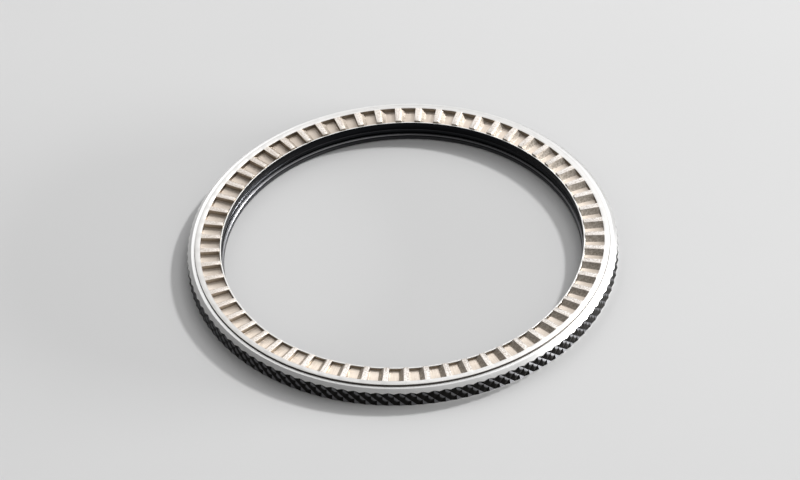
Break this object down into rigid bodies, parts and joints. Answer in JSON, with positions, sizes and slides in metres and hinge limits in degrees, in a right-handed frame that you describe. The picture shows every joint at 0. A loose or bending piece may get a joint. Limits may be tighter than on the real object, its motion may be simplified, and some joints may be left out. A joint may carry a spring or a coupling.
{
  "type": "rotating watch bezel",
  "caption": "Steel rotating watch bezel with a diamond-knurled edge, a ring of click pockets underneath, a spring retaining wire and a dark minute-scale insert.",
  "frame": {"origin": "centre of the bore on the front face, which the bezel rests on", "axes": "+Z along the bore axis towards the click side that bears on the watch case, +Y towards zero of the scale"},
  "size_m": [0.0402, 0.0402, 0.0021],
  "materials": {
    "ring_steel": "turned, satin faces, sharp knurl",
    "click_steel": "fine ground top, milled pockets",
    "spring_steel": "drawn bright wire",
    "insert_black": "black anodised, fine circular grain",
    "adhesive": "cured bonding film",
    "scale_fill": "baked filling",
    "cup_steel": "polished",
    "lume": "luminous compound",
    "lens": "clear"
  },
  "bodies": {
    "bezel": {"grip_ring": "ring_steel", "click_ring": "click_steel", "insert_ring": "insert_black", "insert_adhesive": "adhesive", "minute_marks": "scale_fill", "five_minute_bars": "scale_fill", "zero_triangle": "scale_fill", "marker_cup": "cup_steel", "marker_lume": "lume", "marker_lens": "lens", "numeral_10": "scale_fill", "numeral_20": "scale_fill", "numeral_30": "scale_fill", "numeral_40": "scale_fill", "numeral_50": "scale_fill"},
    "wire": {"retaining_wire": "spring_steel"}
  },
  "joints": [
    {"name": "turn_on_wire", "type": "hinge", "parent": "bezel", "child": "wire", "pos_m": [0, 0, 0.00097], "axis": [0, 0, 1], "continuous": true}
  ]
}
